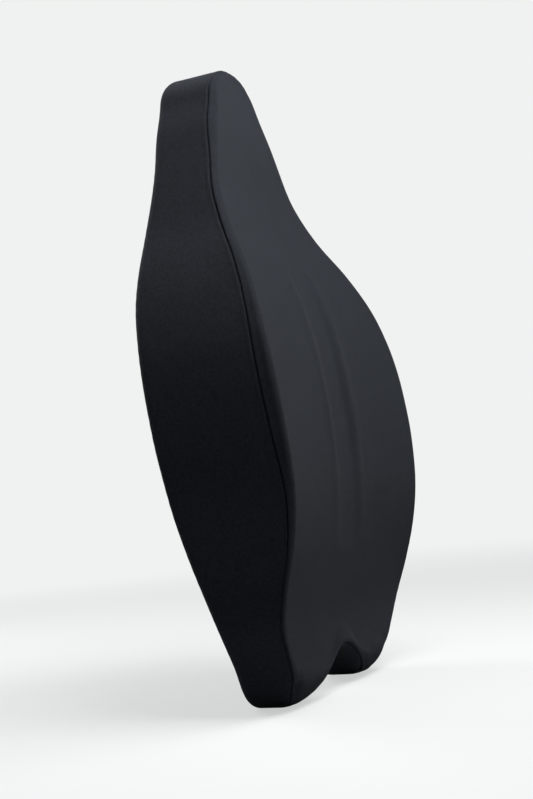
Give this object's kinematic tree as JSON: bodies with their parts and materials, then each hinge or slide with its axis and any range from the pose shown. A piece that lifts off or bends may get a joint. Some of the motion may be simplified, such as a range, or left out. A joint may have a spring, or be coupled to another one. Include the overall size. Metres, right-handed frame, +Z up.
{
  "type": "back support cushion",
  "caption": "Full-back support cushion: foam body on two lobes with a tailbone notch, zipped knit cover and two buckled chair straps on the back.",
  "frame": {"origin": "on the surface that the cushion stands on, under the middle of its overall box", "axes": "+X across the back, +Y from the front (leaned on) to the back (straps), +Z up"},
  "size_m": [0.357, 0.1748, 0.672],
  "materials": {
    "knit_cover": "matte",
    "back_fabric": "matte",
    "foam": "matte",
    "shell_plastic": "satin",
    "zip_tape": "matte",
    "zip_metal": "satin",
    "webbing": "matte",
    "buckle_plastic": "satin",
    "label": "matte"
  },
  "bodies": {
    "root": {"back_panel": "back_fabric", "care_label": "label", "front_foam": "foam", "front_panel": "knit_cover", "lower_anchor_left": "back_fabric", "lower_anchor_right": "back_fabric", "lower_buckle_socket": "buckle_plastic", "lower_webbing_left": "webbing", "lower_webbing_right": "webbing", "rear_foam": "foam", "side_gusset": "knit_cover", "support_shell": "shell_plastic", "upper_anchor_left": "back_fabric", "upper_anchor_right": "back_fabric", "upper_buckle_socket": "buckle_plastic", "upper_webbing_left": "webbing", "upper_webbing_right": "webbing", "zip_end_stop_left": "zip_metal", "zip_end_stop_right": "zip_metal", "zip_tape_lower": "zip_tape", "zip_tape_upper": "zip_tape", "zip_teeth_lower": "zip_metal", "zip_teeth_upper": "zip_metal"},
    "zip_slider": {"zip_slider": "zip_metal"},
    "zip_pull": {"zip_pull": "zip_metal"},
    "upper_plug": {"upper_buckle_plug": "buckle_plastic", "upper_webbing_fold": "webbing"},
    "upper_glide": {"upper_tri_glide": "buckle_plastic", "upper_webbing_bight": "webbing"},
    "upper_prong_upper": {"upper_prong_upper": "buckle_plastic"},
    "upper_prong_lower": {"upper_prong_lower": "buckle_plastic"},
    "lower_plug": {"lower_buckle_plug": "buckle_plastic", "lower_webbing_fold": "webbing"},
    "lower_glide": {"lower_tri_glide": "buckle_plastic", "lower_webbing_bight": "webbing"},
    "lower_prong_upper": {"lower_prong_upper": "buckle_plastic"},
    "lower_prong_lower": {"lower_prong_lower": "buckle_plastic"}
  },
  "joints": [
    {"name": "zip_slide", "type": "slide", "parent": "root", "child": "zip_slider", "axis": [1, 0, 0], "range_m": [-0.23, 0]},
    {"name": "zip_pull_flip", "type": "hinge", "parent": "zip_slider", "child": "zip_pull", "pos_m": [0.115, 0.06605, 0.3094], "axis": [0, 0.1239, 0.9923], "range_deg": [0, 180]},
    {"name": "upper_buckle_release", "type": "slide", "parent": "root", "child": "upper_plug", "axis": [1, 0, 0], "range_m": [0, 0.028], "deforming": ["upper_webbing_right"]},
    {"name": "upper_glide_adjust", "type": "slide", "parent": "upper_plug", "child": "upper_glide", "axis": [1, 0, 0], "range_m": [-0.018, 0], "deforming": ["upper_webbing_fold"]},
    {"name": "upper_prong_upper_press", "type": "hinge", "parent": "upper_plug", "child": "upper_prong_upper", "pos_m": [-0.0215, 0.08229, 0.42649], "axis": [0, -0.9952, 0.0977], "range_deg": [0, 6], "stiffness_Nm_per_rad": 0.5},
    {"name": "upper_prong_lower_press", "type": "hinge", "parent": "upper_plug", "child": "upper_prong_lower", "pos_m": [-0.0215, 0.07992, 0.40241], "axis": [0, 0.9952, -0.0977], "range_deg": [0, 6], "stiffness_Nm_per_rad": 0.5},
    {"name": "lower_buckle_release", "type": "slide", "parent": "root", "child": "lower_plug", "axis": [1, 0, 0], "range_m": [0, 0.028], "deforming": ["lower_webbing_right"]},
    {"name": "lower_glide_adjust", "type": "slide", "parent": "lower_plug", "child": "lower_glide", "axis": [1, 0, 0], "range_m": [-0.018, 0], "deforming": ["lower_webbing_fold"]},
    {"name": "lower_prong_upper_press", "type": "hinge", "parent": "lower_plug", "child": "lower_prong_upper", "pos_m": [-0.0215, 0.05359, 0.21048], "axis": [0, -0.9753, 0.221], "range_deg": [0, 6], "stiffness_Nm_per_rad": 0.5},
    {"name": "lower_prong_lower_press", "type": "hinge", "parent": "lower_plug", "child": "lower_prong_lower", "pos_m": [-0.0215, 0.04824, 0.18688], "axis": [0, 0.9753, -0.221], "range_deg": [0, 6], "stiffness_Nm_per_rad": 0.5}
  ]
}
